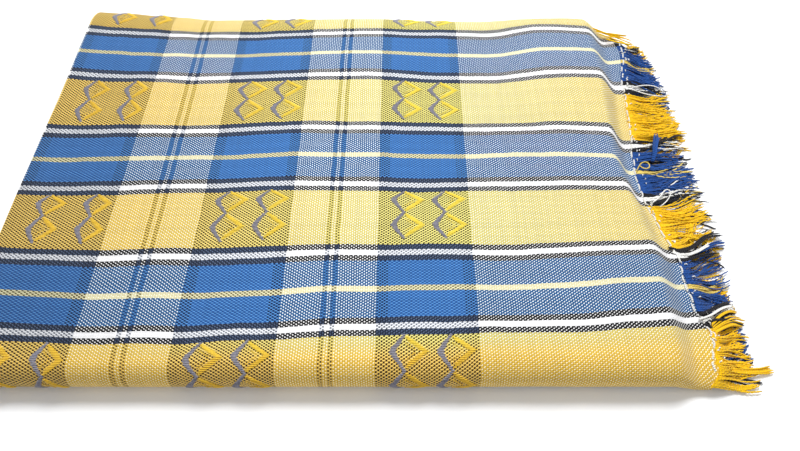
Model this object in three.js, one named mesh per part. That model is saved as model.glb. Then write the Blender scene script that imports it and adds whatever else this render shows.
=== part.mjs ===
// A hand-woven checkered blanket, folded flat, with a fringe on its open end. Millimetres, +Z up.
// +X runs along the warp towards the fringed end, +Y to the back fold, and z = 0 is the surface it lies on.
import * as THREE from "three";

// Sheet
const SHEET = 2; // thickness of the cloth
const PAIR_OFFSET = 2.4; // from the middle of a doubled layer to either of its two sheets
const LAYER_PITCH = 9.6; // from one doubled layer to the next
const BOTTOM_LEVEL = SHEET / 2 + PAIR_OFFSET; // height of the lowest doubled layer's middle
const TOP_LEVEL = BOTTOM_LEVEL + 3 * LAYER_PITCH;
const TOP_SHEET_Z = TOP_LEVEL + PAIR_OFFSET;
const FLOOR_SHEET_Z = SHEET / 2;

// Section across the stripes
const FRONT_EDGE = -237.6; // outer face of the front roll
const FRONT_RADIUS = (TOP_LEVEL - BOTTOM_LEVEL) / 2;
const FRONT_CENTRE = FRONT_EDGE + FRONT_RADIUS + PAIR_OFFSET + SHEET / 2;
const TURN_RADIUS = LAYER_PITCH / 2; // of the back fold and the inner front turn
const DROOP_START = 192.9; // where the top layers start to bow down at the back
const DROOP_RADIUS = 50;
const DROOP_ANGLE = Math.PI / 6;
const INNER_TURN_SET_BACK = 9; // the inner turn lies inside the front roll
const INNER_TURN_CENTRE = FRONT_CENTRE + INNER_TURN_SET_BACK;
const THIRD_DROOP_ANGLE = 0.27; // the third layer's short bow, above the lowest layer
const LOWEST_EDGE = 200.4; // free edge of the lowest layer

// Length along the warp
const LEFT_EDGE = -350.7; // outer face of the left fold
const INNER_END = 242; // end of the hidden layers
const LINING_END = 238; // end of the inner sheet
const CORNER_END = 258; // end of the outer sheet where it turns over the back fold
const END_FALL = 10; // width of the hidden layers' ends past their crease
const CORNER_FALL = 6; // the same at the back corner
const DROP_LENGTH = 30; // over which the top sheet falls past the hidden layers' ends

// Open end, from the back to the front: where the top sheet starts to fall, its hem, the lowest sheet's hem,
// the line that the longest locks of the fringe reach, and the share of its height that the hem keeps
const OPEN_END = [
  { y: 204, crease: 250, hem: 294, low: 291, tips: 326, left: 0.38 },
  { y: 176, crease: 249, hem: 300, low: 294, tips: 341, left: 0.36 },
  { y: 125, crease: 251, hem: 294, low: 291, tips: 345, left: 0.24 },
  { y: 63, crease: 247, hem: 290, low: 287, tips: 349, left: 0.13 },
  { y: -1, crease: 243, hem: 283, low: 284, tips: 350, left: 0.13 },
  { y: -38, crease: 247, hem: 284, low: 287, tips: 349, left: 0.16 },
  { y: -77, crease: 253, hem: 291, low: 293, tips: 351, left: 0.24 },
  { y: -111, crease: 258, hem: 298, low: 300, tips: 350, left: 0.34 },
  { y: -161, crease: 257, hem: 301, low: 304, tips: 342, left: 0.38 },
  { y: -201, crease: 256, hem: 308, low: 310, tips: 342, left: 0.38 },
  { y: -246, crease: 254, hem: 304, low: 306, tips: 345, left: 0.40 },
];

// Back fold's distance from its straight line, along the warp
const BACK_LINE = [
  { x: -351, shift: 14 },
  { x: -311, shift: 12 },
  { x: -271, shift: 7 },
  { x: -242, shift: 4 },
  { x: -197, shift: -1 },
  { x: -110, shift: 0 },
  { x: 3, shift: 2 },
  { x: 65, shift: -2 },
  { x: 124, shift: -4 },
  { x: 200, shift: 2 },
  { x: 300, shift: 0 },
];
const BACK_REACH = 260; // how far to the front that distance fades out

// Left fold's distance in from its line, for each layer
const LEFT_INSET = { lowest: 2, top: 0, second: 4, third: 6 };

// Soft swells and hollows of the top: centre, radii and height
const SWELLS = [
  { x: 214, y: 9, rx: 40, ry: 170, h: 2.4 },
  { x: 60, y: 9, rx: 50, ry: 190, h: -2.2 },
  { x: -60, y: -51, rx: 55, ry: 160, h: 1.4 },
  { x: -172, y: 49, rx: 48, ry: 150, h: -2 },
  { x: -262, y: -101, rx: 45, ry: 120, h: 1.6 },
  { x: -325, y: 79, rx: 34, ry: 90, h: -2.6 },
  { x: 140, y: -201, rx: 70, ry: 50, h: 1.4 },
];

// Fringe
const EDGE_GAP = 0.5; // between the hem and the strip that holds the locks
const STRIP_WIDTH = 3;
const STRIP_THICKNESS = 1.5;
const LOCK_WIDTH = 2.3;
const LOCK_TIP_WIDTH = 1.1;
const LOCK_THICKNESS = 1.4;
const TOP_TIP_THICKNESS = 0.9; // of the upper locks' tips
const TOP_LOCKS = 84;
const LOW_LOCKS = 66;
const TOP_REST = 3.1; // height at which the upper locks lie on the lower ones
const LOCK_SHORTEST = 0.72; // share of the way to the fringe's line that the shortest lock reaches
const LOCK_FAN = 5; // most that a lock leans along the hem
const FAN_STEP = 0.37; // how fast that lean changes from one lock to the next, in radians
const REACH_STEP = 1.7; // the same for the lock's reach
const SETTLED_AT = 0.62; // share of its length past which a lock lies level
const TOP_FRINGE_START = 0.62; // share of the front roll's arc at which the upper fringe starts
const LOW_FRINGE_END = 0.12; // the same for the lower fringe's end
const FRINGE_SET_IN = 6; // from the free edge, and past the start of the back's bow, to the fringe's ends

const lerp = (a, b, t) => a + (b - a) * t;
const clamp01 = (t) => Math.min(1, Math.max(0, t));
const smooth = (t) => clamp01(t) ** 2 * (3 - 2 * clamp01(t));

// Value of a table's column at a key, easing from one row to the next.
function lookUp(table, key, at, column) {
  const rows = table[0][key] < table[1][key] ? table : [...table].reverse();
  const next = rows.findIndex((row) => row[key] > at);
  if (next === 0) return rows[0][column];
  if (next < 0) return rows[rows.length - 1][column];
  const [a, b] = [rows[next - 1], rows[next]];
  return lerp(a[column], b[column], smooth((at - a[key]) / (b[key] - a[key])));
}

// The section's middle line, from the lowest layer's free edge round the front to the top, then back inside.
// Each piece is a straight run or an arc, with the number of steps in it and what it belongs to.
const THIRD_RADIUS = DROOP_RADIUS - 2 * LAYER_PITCH;
const PIECES = [
  { zone: "lowest", kind: "line", length: LOWEST_EDGE - FRONT_CENTRE, steps: 5 },
  { zone: "front", kind: "arc", radius: FRONT_RADIUS, turn: -Math.PI, steps: 9 },
  { zone: "top", kind: "line", length: DROOP_START - FRONT_CENTRE, steps: 14 },
  { zone: "droop", kind: "arc", radius: DROOP_RADIUS, turn: -DROOP_ANGLE, steps: 3 },
  { zone: "back", kind: "arc", radius: TURN_RADIUS, turn: -Math.PI, steps: 6 },
  { zone: "second", kind: "arc", radius: DROOP_RADIUS - LAYER_PITCH, turn: DROOP_ANGLE, steps: 2 },
  { zone: "second", kind: "line", length: DROOP_START - INNER_TURN_CENTRE, steps: 5 },
  { zone: "inner", kind: "arc", radius: TURN_RADIUS, turn: Math.PI, steps: 6 },
  { zone: "third", kind: "line", length: DROOP_START - INNER_TURN_CENTRE, steps: 4 },
  { zone: "third", kind: "arc", radius: THIRD_RADIUS, turn: -THIRD_DROOP_ANGLE, steps: 1 },
];

// Lays the pieces end to end: each keeps its start, its heading and its length.
function layOut(pieces) {
  let [y, z, heading, start] = [LOWEST_EDGE, BOTTOM_LEVEL, Math.PI, 0];
  return pieces.map((piece) => {
    const length = piece.kind === "line" ? piece.length : piece.radius * Math.abs(piece.turn);
    const laid = { ...piece, y, z, heading, start, length };
    const end = pointOn(laid, length);
    [y, z, heading, start] = [end.y, end.z, end.heading, start + length];
    return laid;
  });
}

// Point and heading at a distance along one laid piece.
function pointOn(piece, along) {
  if (piece.kind === "line") {
    const [c, s] = [Math.cos(piece.heading), Math.sin(piece.heading)];
    return { y: piece.y + c * along, z: piece.z + s * along, heading: piece.heading };
  }
  const side = Math.sign(piece.turn);
  const heading = piece.heading + (side * along) / piece.radius;
  const [cy, cz] = [
    piece.y - side * piece.radius * Math.sin(piece.heading),
    piece.z + side * piece.radius * Math.cos(piece.heading),
  ];
  return {
    y: cy + side * piece.radius * Math.sin(heading),
    z: cz - side * piece.radius * Math.cos(heading),
    heading,
  };
}

const LAID = layOut(PIECES);
const SECTION_LENGTH = LAID[LAID.length - 1].start + LAID[LAID.length - 1].length;

function pieceAt(s) {
  return LAID.find((piece) => s <= piece.start + piece.length) ?? LAID[LAID.length - 1];
}

// Section point at s, moved out from the middle line by offset.
function sectionAt(s, offset) {
  const piece = pieceAt(s);
  const { y, z, heading } = pointOn(piece, s - piece.start);
  return { y: y - offset * Math.sin(heading), z: z + offset * Math.cos(heading) };
}

// Share of the way along a piece, from 0 to 1.
const shareOf = (piece, s) => clamp01((s - piece.start) / piece.length);

// Where the outer sheet ends, and where its fall begins, at s.
function openEnd(s) {
  const piece = pieceAt(s);
  const { y } = sectionAt(s, PAIR_OFFSET);
  const t = shareOf(piece, s);
  const row = (column) => lookUp(OPEN_END, "y", y, column);
  const hidden = { end: INNER_END, crease: INNER_END - END_FALL };
  const corner = { end: CORNER_END, crease: CORNER_END - CORNER_FALL };
  if (piece.zone === "lowest") return { end: row("low"), crease: row("crease") };
  if (piece.zone === "front") return { end: lerp(row("low"), row("hem"), t), crease: row("crease") };
  if (piece.zone === "top") return { end: row("hem"), crease: row("crease") };
  if (piece.zone === "droop") {
    return {
      end: lerp(row("hem"), corner.end, t * t),
      crease: lerp(row("crease"), corner.crease, t * t),
    };
  }
  if (piece.zone === "back") {
    return {
      end: lerp(corner.end, hidden.end, smooth(t)),
      crease: lerp(corner.crease, hidden.crease, smooth(t)),
    };
  }
  return hidden;
}

// How far the left fold is set in at s.
function leftInset(s) {
  const piece = pieceAt(s);
  const t = smooth(shareOf(piece, s));
  if (piece.zone === "front") return lerp(LEFT_INSET.lowest, LEFT_INSET.top, t);
  if (piece.zone === "back") return lerp(LEFT_INSET.top, LEFT_INSET.second, t);
  if (piece.zone === "inner") return lerp(LEFT_INSET.second, LEFT_INSET.third, t);
  return LEFT_INSET[piece.zone] ?? LEFT_INSET.top;
}

// Height left of a point past the crease, as a share.
function dropShare(x, y) {
  const crease = lookUp(OPEN_END, "y", y, "crease");
  return lerp(1, lookUp(OPEN_END, "y", y, "left"), smooth((x - crease) / DROP_LENGTH));
}

// Lays a point of the straight section into the blanket's real, uneven shape.
function lay(x, y, z) {
  const fade = smooth((y - DROOP_START + BACK_REACH) / BACK_REACH);
  const laidY = y + lookUp(BACK_LINE, "x", x, "shift") * fade;
  let swell = 0;
  for (const s of SWELLS) {
    swell += s.h * Math.exp(-(((x - s.x) / s.rx) ** 2) - ((laidY - s.y) / s.ry) ** 2);
  }
  const above = z - FLOOR_SHEET_Z;
  const risen = above * (1 + swell / TOP_SHEET_Z);
  return new THREE.Vector3(x, laidY, FLOOR_SHEET_Z + risen * dropShare(x, laidY));
}

// Columns of the sheet along the warp, from the outer sheet's hem round the left fold to the lining's end.
const FALL_COLUMNS = [1, 0.8, 0.62, 0.48, 0.36, 0.24, 0.12];
const OUTER_COLUMNS = 9;
const FOLD_COLUMNS = 4;
const LINING_COLUMNS = 4;
const COLUMNS = [
  ...FALL_COLUMNS.map((share) => ({ part: "fall", share })),
  ...Array.from({ length: OUTER_COLUMNS }, (_, i) => ({ part: "outer", share: i / OUTER_COLUMNS })),
  ...Array.from({ length: FOLD_COLUMNS }, (_, i) => ({ part: "fold", share: i / FOLD_COLUMNS })),
  ...Array.from({ length: LINING_COLUMNS + 1 }, (_, i) => ({ part: "lining", share: i / LINING_COLUMNS })),
];

// Middle of the sheet at a column and at s.
function middleAt(column, s) {
  const { end, crease } = openEnd(s);
  const foldX = LEFT_EDGE + leftInset(s) + PAIR_OFFSET + SHEET / 2;
  let [x, offset] = [0, PAIR_OFFSET];
  if (column.part === "fall") x = lerp(crease, end, column.share);
  if (column.part === "outer") x = lerp(crease, foldX, column.share);
  if (column.part === "fold") {
    const angle = Math.PI * column.share;
    x = foldX - PAIR_OFFSET * Math.sin(angle);
    offset = PAIR_OFFSET * Math.cos(angle);
  }
  if (column.part === "lining") {
    x = lerp(foldX, LINING_END, column.share);
    offset = -PAIR_OFFSET;
  }
  const { y, z } = sectionAt(s, offset);
  return lay(x, y, z);
}

const NEAR = 0.02; // distance along the section to the points that give the sheet's slope
const NEAR_SHARE = 1e-3; // the same across the columns, as a share

// Outward normal of the sheet at a column and at s.
function normalAt(column, s) {
  const [before, after] = [Math.max(0, s - NEAR), Math.min(SECTION_LENGTH, s + NEAR)];
  const across = middleAt(column, after).sub(middleAt(column, before));
  const less = { ...column, share: column.share - NEAR_SHARE };
  const more = { ...column, share: column.share + NEAR_SHARE };
  const sign = column.part === "fall" ? -1 : 1;
  const along = middleAt(more, s).sub(middleAt(less, s)).multiplyScalar(sign);
  return new THREE.Vector3().crossVectors(across, along).normalize();
}

// Distances along the section at which the sheet has a row of points.
function sectionStops(pieces) {
  const stops = [0];
  for (const piece of pieces) {
    for (let i = 1; i <= piece.steps; i += 1) stops.push(piece.start + (piece.length * i) / piece.steps);
  }
  return stops;
}

// Closes a grid of points on both faces of a sheet into one solid.
function closedSheet(rows, columns, pointAt) {
  const positions = [];
  const indices = [];
  const index = (face, r, c) => (face * rows + r) * columns + c;
  for (const face of [0, 1]) {
    for (let r = 0; r < rows; r += 1) {
      for (let c = 0; c < columns; c += 1) positions.push(...pointAt(face, r, c).toArray());
    }
  }
  const quad = (a, b, c, d) => indices.push(a, b, c, a, c, d);
  for (let r = 0; r + 1 < rows; r += 1) {
    for (let c = 0; c + 1 < columns; c += 1) {
      quad(index(0, r, c), index(0, r + 1, c), index(0, r + 1, c + 1), index(0, r, c + 1));
      quad(index(1, r, c), index(1, r, c + 1), index(1, r + 1, c + 1), index(1, r + 1, c));
    }
    quad(index(0, r, 0), index(1, r, 0), index(1, r + 1, 0), index(0, r + 1, 0));
    const last = columns - 1;
    quad(index(0, r, last), index(0, r + 1, last), index(1, r + 1, last), index(1, r, last));
  }
  for (let c = 0; c + 1 < columns; c += 1) {
    quad(index(0, 0, c), index(0, 0, c + 1), index(1, 0, c + 1), index(1, 0, c));
    const last = rows - 1;
    quad(index(0, last, c), index(1, last, c), index(1, last, c + 1), index(0, last, c + 1));
  }
  return geometryOf(positions, indices);
}

function geometryOf(positions, indices) {
  const geometry = new THREE.BufferGeometry();
  geometry.setAttribute("position", new THREE.Float32BufferAttribute(positions, 3));
  geometry.setIndex(indices);
  geometry.computeVertexNormals();
  return geometry;
}

function blanketGeometry() {
  const stops = sectionStops(LAID);
  return closedSheet(stops.length, COLUMNS.length, (face, r, c) => {
    const [column, s] = [COLUMNS[c], stops[r]];
    const half = (face === 0 ? 1 : -1) * (SHEET / 2);
    return middleAt(column, s).addScaledVector(normalAt(column, s), half);
  });
}

// One lock's rings from the strip outwards: distance, sideways lean, height, width and thickness.
function lockRings(tier, number, root) {
  const reach = lerp(LOCK_SHORTEST, 1, Math.abs(Math.sin(number * REACH_STEP + tier.phase)));
  const length = reach * (lookUp(OPEN_END, "y", root.y, "tips") - root.x - EDGE_GAP - STRIP_WIDTH);
  const lean = LOCK_FAN * Math.sin(number * FAN_STEP + tier.phase);
  return tier.rings.map(({ at, width }) => ({
    out: length * at,
    lean: lean * at * at,
    height: lerp(root.z, tier.rest, smooth(at / SETTLED_AT)),
    width: lerp(LOCK_WIDTH, LOCK_TIP_WIDTH, width),
    thickness: lerp(LOCK_THICKNESS, tier.tip, width),
    turn: smooth(at / SETTLED_AT),
  }));
}

// A strip along the hem with one lock after another standing out of its outer face, as one solid.
function fringeGeometry(tier) {
  const hem = { part: "fall", share: 1 };
  const stops = sectionStops(LAID);
  const positions = [];
  const indices = [];
  const add = (v) => positions.push(...v.toArray()) / 3 - 1;
  const quad = (a, b, c, d) => indices.push(a, c, b, a, d, c);
  const frameAt = (s) => {
    const next = Math.max(1, stops.findIndex((stop) => stop >= s));
    const share = (s - stops[next - 1]) / (stops[next] - stops[next - 1]);
    const point = middleAt(hem, stops[next - 1]).lerp(middleAt(hem, stops[next]), share);
    const normal = normalAt(hem, stops[next - 1]).lerp(normalAt(hem, stops[next]), share);
    const flat = new THREE.Vector3(0, normal.y, normal.z).normalize();
    return { point, up: flat, side: new THREE.Vector3(0, -flat.z, flat.y) };
  };
  // Four corners of the strip's section: inner low, inner high, outer low and outer high.
  const stripAt = (s) => {
    const { point, up } = frameAt(s);
    const corner = (x, z) => point.clone().add(new THREE.Vector3(x, 0, 0)).addScaledVector(up, z);
    const [near, far] = [EDGE_GAP, EDGE_GAP + STRIP_WIDTH];
    const half = STRIP_THICKNESS / 2;
    return [corner(near, -half), corner(near, half), corner(far, -half), corner(far, half)].map(add);
  };
  const pitch = (tier.to - tier.from) / tier.locks;
  const edge = LOCK_WIDTH / 2;
  let before = stripAt(tier.from);
  quad(before[0], before[1], before[3], before[2]);
  const join = (a, b, open) => {
    quad(a[1], b[1], b[3], a[3]);
    quad(a[0], a[2], b[2], b[0]);
    quad(a[0], b[0], b[1], a[1]);
    if (!open) quad(a[2], a[3], b[3], b[2]);
  };
  for (let i = 0; i < tier.locks; i += 1) {
    const s = tier.from + pitch * (i + 0.5);
    const [left, right] = [stripAt(s - edge), stripAt(s + edge)];
    join(before, left, false);
    join(left, right, true);
    let ring = [left[2], left[3], right[3], right[2]];
    const { point, up, side } = frameAt(s);
    for (const cut of lockRings(tier, i, point)) {
      const level = new THREE.Vector3(0, 0, Math.sign(up.z) || 1);
      const lockUp = up.clone().lerp(level, cut.turn).normalize();
      const lockSide = new THREE.Vector3(0, -lockUp.z, lockUp.y);
      const outerFace = point.x + EDGE_GAP + STRIP_WIDTH;
      const centre = new THREE.Vector3(outerFace + cut.out, point.y + cut.lean, cut.height);
      const corner = (a, b) =>
        add(
          centre
            .clone()
            .addScaledVector(lockSide, (a * cut.width) / 2)
            .addScaledVector(lockUp, (b * cut.thickness) / 2),
        );
      const next = [corner(1, -1), corner(1, 1), corner(-1, 1), corner(-1, -1)];
      for (let k = 0; k < 4; k += 1) quad(ring[k], ring[(k + 1) % 4], next[(k + 1) % 4], next[k]);
      ring = next;
    }
    quad(ring[0], ring[1], ring[2], ring[3]);
    before = right;
  }
  const last = stripAt(tier.to);
  join(before, last, false);
  quad(last[0], last[2], last[3], last[1]);
  return geometryOf(positions, indices);
}

const FRONT_PIECE = LAID[1];
const TOP_PIECE = LAID[2];
const TIERS = {
  fringe_top: {
    from: FRONT_PIECE.start + FRONT_PIECE.length * TOP_FRINGE_START,
    to: TOP_PIECE.start + TOP_PIECE.length + FRINGE_SET_IN,
    locks: TOP_LOCKS,
    rest: TOP_REST,
    tip: TOP_TIP_THICKNESS,
    phase: 0.4,
    rings: [
      { at: 0.3, width: 0.1 },
      { at: 0.65, width: 0.3 },
      { at: 1, width: 1 },
    ],
  },
  fringe_bottom: {
    from: FRINGE_SET_IN,
    to: LAID[0].length + FRONT_PIECE.length * LOW_FRINGE_END,
    locks: LOW_LOCKS,
    rest: LOCK_THICKNESS / 2,
    tip: LOCK_THICKNESS,
    phase: 2.1,
    rings: [
      { at: 0.5, width: 0.2 },
      { at: 1, width: 1 },
    ],
  },
};

const COLOURS = { blanket: 0xe2b54a, fringe_top: 0xd9a521, fringe_bottom: 0x24468f };

function solid(name, geometry) {
  const material = new THREE.MeshStandardMaterial({ color: COLOURS[name], roughness: 0.95 });
  const mesh = new THREE.Mesh(geometry, material);
  mesh.name = name;
  return mesh;
}

const blanket = new THREE.Group();
blanket.name = "checkered_blanket";
blanket.add(solid("blanket", blanketGeometry()));
for (const [name, tier] of Object.entries(TIERS)) blanket.add(solid(name, fringeGeometry(tier)));

export default blanket;
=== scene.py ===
"""A folded hand-woven checkered blanket: woven cloth, brocade, hem stitch and fringe."""

import math

import bpy
import numpy as np
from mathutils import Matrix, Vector, noise


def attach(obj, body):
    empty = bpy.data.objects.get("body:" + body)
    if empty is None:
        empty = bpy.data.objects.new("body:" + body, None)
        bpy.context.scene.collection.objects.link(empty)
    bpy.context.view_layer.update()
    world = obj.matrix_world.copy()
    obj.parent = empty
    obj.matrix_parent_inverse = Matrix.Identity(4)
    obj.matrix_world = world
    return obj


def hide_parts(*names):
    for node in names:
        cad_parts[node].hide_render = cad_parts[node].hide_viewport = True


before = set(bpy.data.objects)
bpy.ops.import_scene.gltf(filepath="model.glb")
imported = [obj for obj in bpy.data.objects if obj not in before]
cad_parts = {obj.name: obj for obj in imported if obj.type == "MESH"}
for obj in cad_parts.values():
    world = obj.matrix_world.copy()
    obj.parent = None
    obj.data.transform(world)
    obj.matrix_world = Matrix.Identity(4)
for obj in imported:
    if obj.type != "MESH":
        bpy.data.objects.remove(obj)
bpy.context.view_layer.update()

MM = 0.001
rng = np.random.default_rng(11)

# Sheet and folds, in millimetres, as in the solids
SHEET = 2.0  # thickness of the cloth
PAIR = 2.4  # from the middle of the doubled cloth to the middle of each sheet
PITCH = 9.6  # from one doubled layer to the next
BOTTOM = SHEET / 2 + PAIR
TOP = BOTTOM + 3 * PITCH
TOP_SHEET = TOP + PAIR
FLOOR_SHEET = SHEET / 2
FRONT_EDGE = -237.6
FRONT_R = (TOP - BOTTOM) / 2
FRONT_C = FRONT_EDGE + FRONT_R + PAIR + SHEET / 2
TURN_R = PITCH / 2
DROOP_START = 192.9
DROOP_R = 50.0
DROOP_ANGLE = math.pi / 6
INNER_C = FRONT_C + 9
THIRD_ANGLE = 0.27
LOWEST_EDGE = 200.4
LEFT_EDGE = -350.7
INNER_END = 242.0
LINING_END = 238.0
CORNER_END = 258.0
CORNER_FALL = 6.0
DROP_LENGTH = 30.0
HEM_TRIM = 4.5  # the cloth past the stitch is unravelled this far into the fringe
PINCH = 9.0  # how far the front roll's open end is drawn in

# Open end, from the front to the back: y, start of the fall, hem, lowest sheet's hem, line of the fringe,
# and the share of its height that the hem keeps
OPEN_Y = np.array([-246, -201, -161, -111, -77, -38, -1, 63, 125, 176, 204.0])
OPEN = {
    "crease": np.array([254, 256, 257, 258, 253, 247, 243, 247, 251, 249, 250.0]),
    "hem": np.array([304, 308, 301, 298, 291, 284, 283, 290, 294, 300, 294.0]),
    "low": np.array([306, 310, 304, 300, 293, 287, 284, 287, 291, 294, 291.0]),
    "tips": np.array([345, 342, 342, 350, 351, 349, 350, 349, 345, 341, 326.0]),
    "left": np.array([0.40, 0.38, 0.38, 0.34, 0.24, 0.16, 0.13, 0.13, 0.24, 0.36, 0.38]),
}
BACK_X = np.array([-351, -311, -271, -242, -197, -110, 3, 65, 124, 200, 300.0])
BACK_SHIFT = np.array([14, 12, 7, 4, -1, 0, 2, -2, -4, 2, 0.0])
BACK_REACH = 260.0
LEFT_INSET = {"lowest": 2.0, "top": 0.0, "second": 4.0, "third": 6.0}
SWELLS = [  # soft humps and hollows of the stack: centre, radii and height
    (214, 9, 40, 170, 2.4),
    (60, 9, 50, 190, -2.2),
    (-60, -51, 55, 160, 1.4),
    (-172, 49, 48, 150, -2.0),
    (-262, -101, 45, 120, 1.6),
    (-325, 79, 34, 90, -2.6),
    (140, -201, 70, 50, 1.4),
]

# How far the stripes sway towards the front: centre, radii and distance
SWAYS = [
    (-290, 60, 110, 400, 6.0),
    (-170, -180, 110, 70, 7.0),
    (-140, 206, 160, 40, 6.0),
    (-30, 126, 80, 40, -3.0),
    (200, 186, 60, 60, -4.0),
    (230, -204, 60, 60, -2.0),
    (-340, 16, 50, 60, 3.0),
    (130, -204, 90, 50, -2.5),
    (260, 136, 60, 45, -5.0),
    (310, 150, 35, 60, -5.0),
    (230, 26, 50, 40, 3.0),
    (250, -154, 60, 60, -6.0),
    (310, -160, 40, 80, -4.0),
    (300, 165, 35, 50, -5.0),
    (300, -45, 30, 28, 2.0),
    (305, -125, 45, 42, -5.5),
    (303, -185, 42, 32, -8.0),
    (-320, 188, 60, 45, 4.5),
]

FINE_SWAY = 2.2
# How far the pattern's left end is drawn out, where that is most, and how far it reaches
LEFT_STRETCH, LEFT_STRETCH_AT, LEFT_STRETCH_REACH = 12.0, -345.0, 50.0
RUMPLE_BROAD, RUMPLE_FINE = 0.9, 0.35  # heights of the cloth's small unevenness
NUDGE = 0.05  # small steps that slopes are measured over
SHARE_NUDGE = 1e-3

# Weave, in millimetres
WARP_PITCH = 1.425
WEFT_PITCH = 2.09
YELLOW_YARNS = 43
STRIPES = [  # yarns from the middle of one yellow stripe to the next
    ("yellow", YELLOW_YARNS / 2),
    ("black", 4),
    ("white", 4),
    ("black", 4),
    ("blue", 18),
    ("cream", 4),
    ("blue", 18),
    ("black", 4),
    ("white", 4),
    ("black", 4),
    ("yellow", YELLOW_YARNS / 2),
]
REPEAT = sum(count for _, count in STRIPES)
BAND_YARNS = 82  # weft yarns from one brocade band to the next
BROCADE_YARNS = 42
BAND_START = 6.6  # x of the last brocade band's left edge
BAND_LINES = (59.5, 63.5)  # middles of the thin dark lines in the light bands
V_TOP = 226.9  # y at which the stripes' count starts


def smooth(t):
    t = np.clip(t, 0.0, 1.0)
    return t * t * (3 - 2 * t)


def look_up(keys, values, at):
    """Value at each key, easing from one row to the next."""
    at = np.asarray(at, float)
    i = np.clip(np.searchsorted(keys, at, side="right") - 1, 0, len(keys) - 2)
    t = smooth((at - keys[i]) / (keys[i + 1] - keys[i]))
    return values[i] + (values[i + 1] - values[i]) * t


PIECES = [
    ("lowest", LOWEST_EDGE - FRONT_C, 0.0, 26),
    ("front", FRONT_R, -math.pi, 28),
    ("top", DROOP_START - FRONT_C, 0.0, 96),
    ("droop", DROOP_R, -DROOP_ANGLE, 8),
    ("back", TURN_R, -math.pi, 14),
    ("second", DROOP_R - PITCH, DROOP_ANGLE, 5),
    ("second", DROOP_START - INNER_C, 0.0, 18),
    ("inner", TURN_R, math.pi, 14),
    ("third", DROOP_START - INNER_C, 0.0, 16),
    ("third", DROOP_R - 2 * PITCH, -THIRD_ANGLE, 3),
]


def laid_out():
    """The section's pieces end to end, with each one's start, heading, length and place in the stripes."""
    y, z, heading, start, outer = LOWEST_EDGE, BOTTOM, math.pi, 0.0, 0.0
    out = []
    for zone, size, turn, steps in PIECES:
        length = size * abs(turn) if turn else size
        along = (size - PAIR * math.copysign(1, turn)) * abs(turn) if turn else size
        out.append(dict(zone=zone, size=size, turn=turn, steps=steps, y=y, z=z, heading=heading,
                        start=start, length=length, outer=outer, along=along))
        y, z, heading = point_on(out[-1], length)
        start += length
        outer += along
    return out


def point_on(piece, along):
    """Place and heading on a piece of the section."""
    side = math.copysign(1, piece["turn"])
    if not piece["turn"]:
        h = piece["heading"]
        return piece["y"] + math.cos(h) * along, piece["z"] + math.sin(h) * along, h
    r, h0 = piece["size"], piece["heading"]
    h = h0 + side * along / r
    cy, cz = piece["y"] - side * r * math.sin(h0), piece["z"] + side * r * math.cos(h0)
    return cy + side * r * math.sin(h), cz - side * r * math.cos(h), h


LAID = laid_out()
LENGTH = LAID[-1]["start"] + LAID[-1]["length"]
FRONT_PIECE = LAID[1]
TOP_PIECE = LAID[2]
SECOND_START = LAID[5]["start"]


def piece_at(s):
    for piece in LAID:
        if s <= piece["start"] + piece["length"] + 1e-9:
            return piece
    return LAID[-1]


def stripe_at(s):
    """Distance across the stripes at s, in millimetres, from the yellow stripe at the back."""
    piece = piece_at(s)
    outer = piece["outer"] + piece["along"] * (s - piece["start"]) / piece["length"]
    return V_TOP - FRONT_C + TOP_PIECE["outer"] - outer


def section_at(s, offset):
    """Place at s round the section, at an offset from the middle of the doubled cloth."""
    piece = piece_at(s)
    y, z, h = point_on(piece, s - piece["start"])
    return y - offset * math.sin(h), z + offset * math.cos(h)


def open_end(s):
    """Where the outer sheet ends at s, and where its fall begins."""
    piece = piece_at(s)
    y, _ = section_at(s, PAIR)
    t = min(1.0, max(0.0, (s - piece["start"]) / piece["length"]))
    row = {name: float(look_up(OPEN_Y, values, y)) for name, values in OPEN.items()}
    hidden = (INNER_END, INNER_END - 10)
    zone = piece["zone"]
    row["hem"] -= HEM_TRIM
    row["low"] -= HEM_TRIM
    if zone == "lowest":
        return row["low"], row["crease"]
    if zone == "front":
        drawn_in = PINCH * math.sin(math.pi * t) ** 2
        return row["low"] + (row["hem"] - row["low"]) * t - drawn_in, row["crease"]
    if zone == "top":
        return row["hem"], row["crease"]
    if zone == "droop":
        return (row["hem"] + (CORNER_END - row["hem"]) * t * t,
                row["crease"] + (CORNER_END - CORNER_FALL - row["crease"]) * t * t)
    if zone == "back":
        e = float(smooth(t))
        fall = CORNER_END - CORNER_FALL
        return CORNER_END + (hidden[0] - CORNER_END) * e, fall + (hidden[1] - fall) * e
    return hidden


def left_inset(s):
    """How far the fold at the left lies inside the outermost one, at s."""
    piece = piece_at(s)
    t = float(smooth((s - piece["start"]) / piece["length"]))
    ends = {"front": ("lowest", "top"), "back": ("top", "second"), "inner": ("second", "third")}
    if piece["zone"] in ends:
        a, b = (LEFT_INSET[name] for name in ends[piece["zone"]])
        return a + (b - a) * t
    return LEFT_INSET.get(piece["zone"], 0.0)


def lay(x, y, z):
    """Lays points of the straight section into the blanket's real, uneven shape."""
    fade = smooth((y - DROOP_START + BACK_REACH) / BACK_REACH)
    y = y + look_up(BACK_X, BACK_SHIFT, x) * fade
    swell = np.zeros_like(x + y)
    for sx, sy, rx, ry, h in SWELLS:
        swell = swell + h * np.exp(-(((x - sx) / rx) ** 2) - ((y - sy) / ry) ** 2)
    crease = look_up(OPEN_Y, OPEN["crease"], y)
    left = look_up(OPEN_Y, OPEN["left"], y)
    share = 1 + (left - 1) * smooth((x - crease) / DROP_LENGTH)
    risen = (z - FLOOR_SHEET) * (1 + swell / TOP_SHEET)
    return np.stack(np.broadcast_arrays(x, y, FLOOR_SHEET + risen * share), axis=-1)


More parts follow.
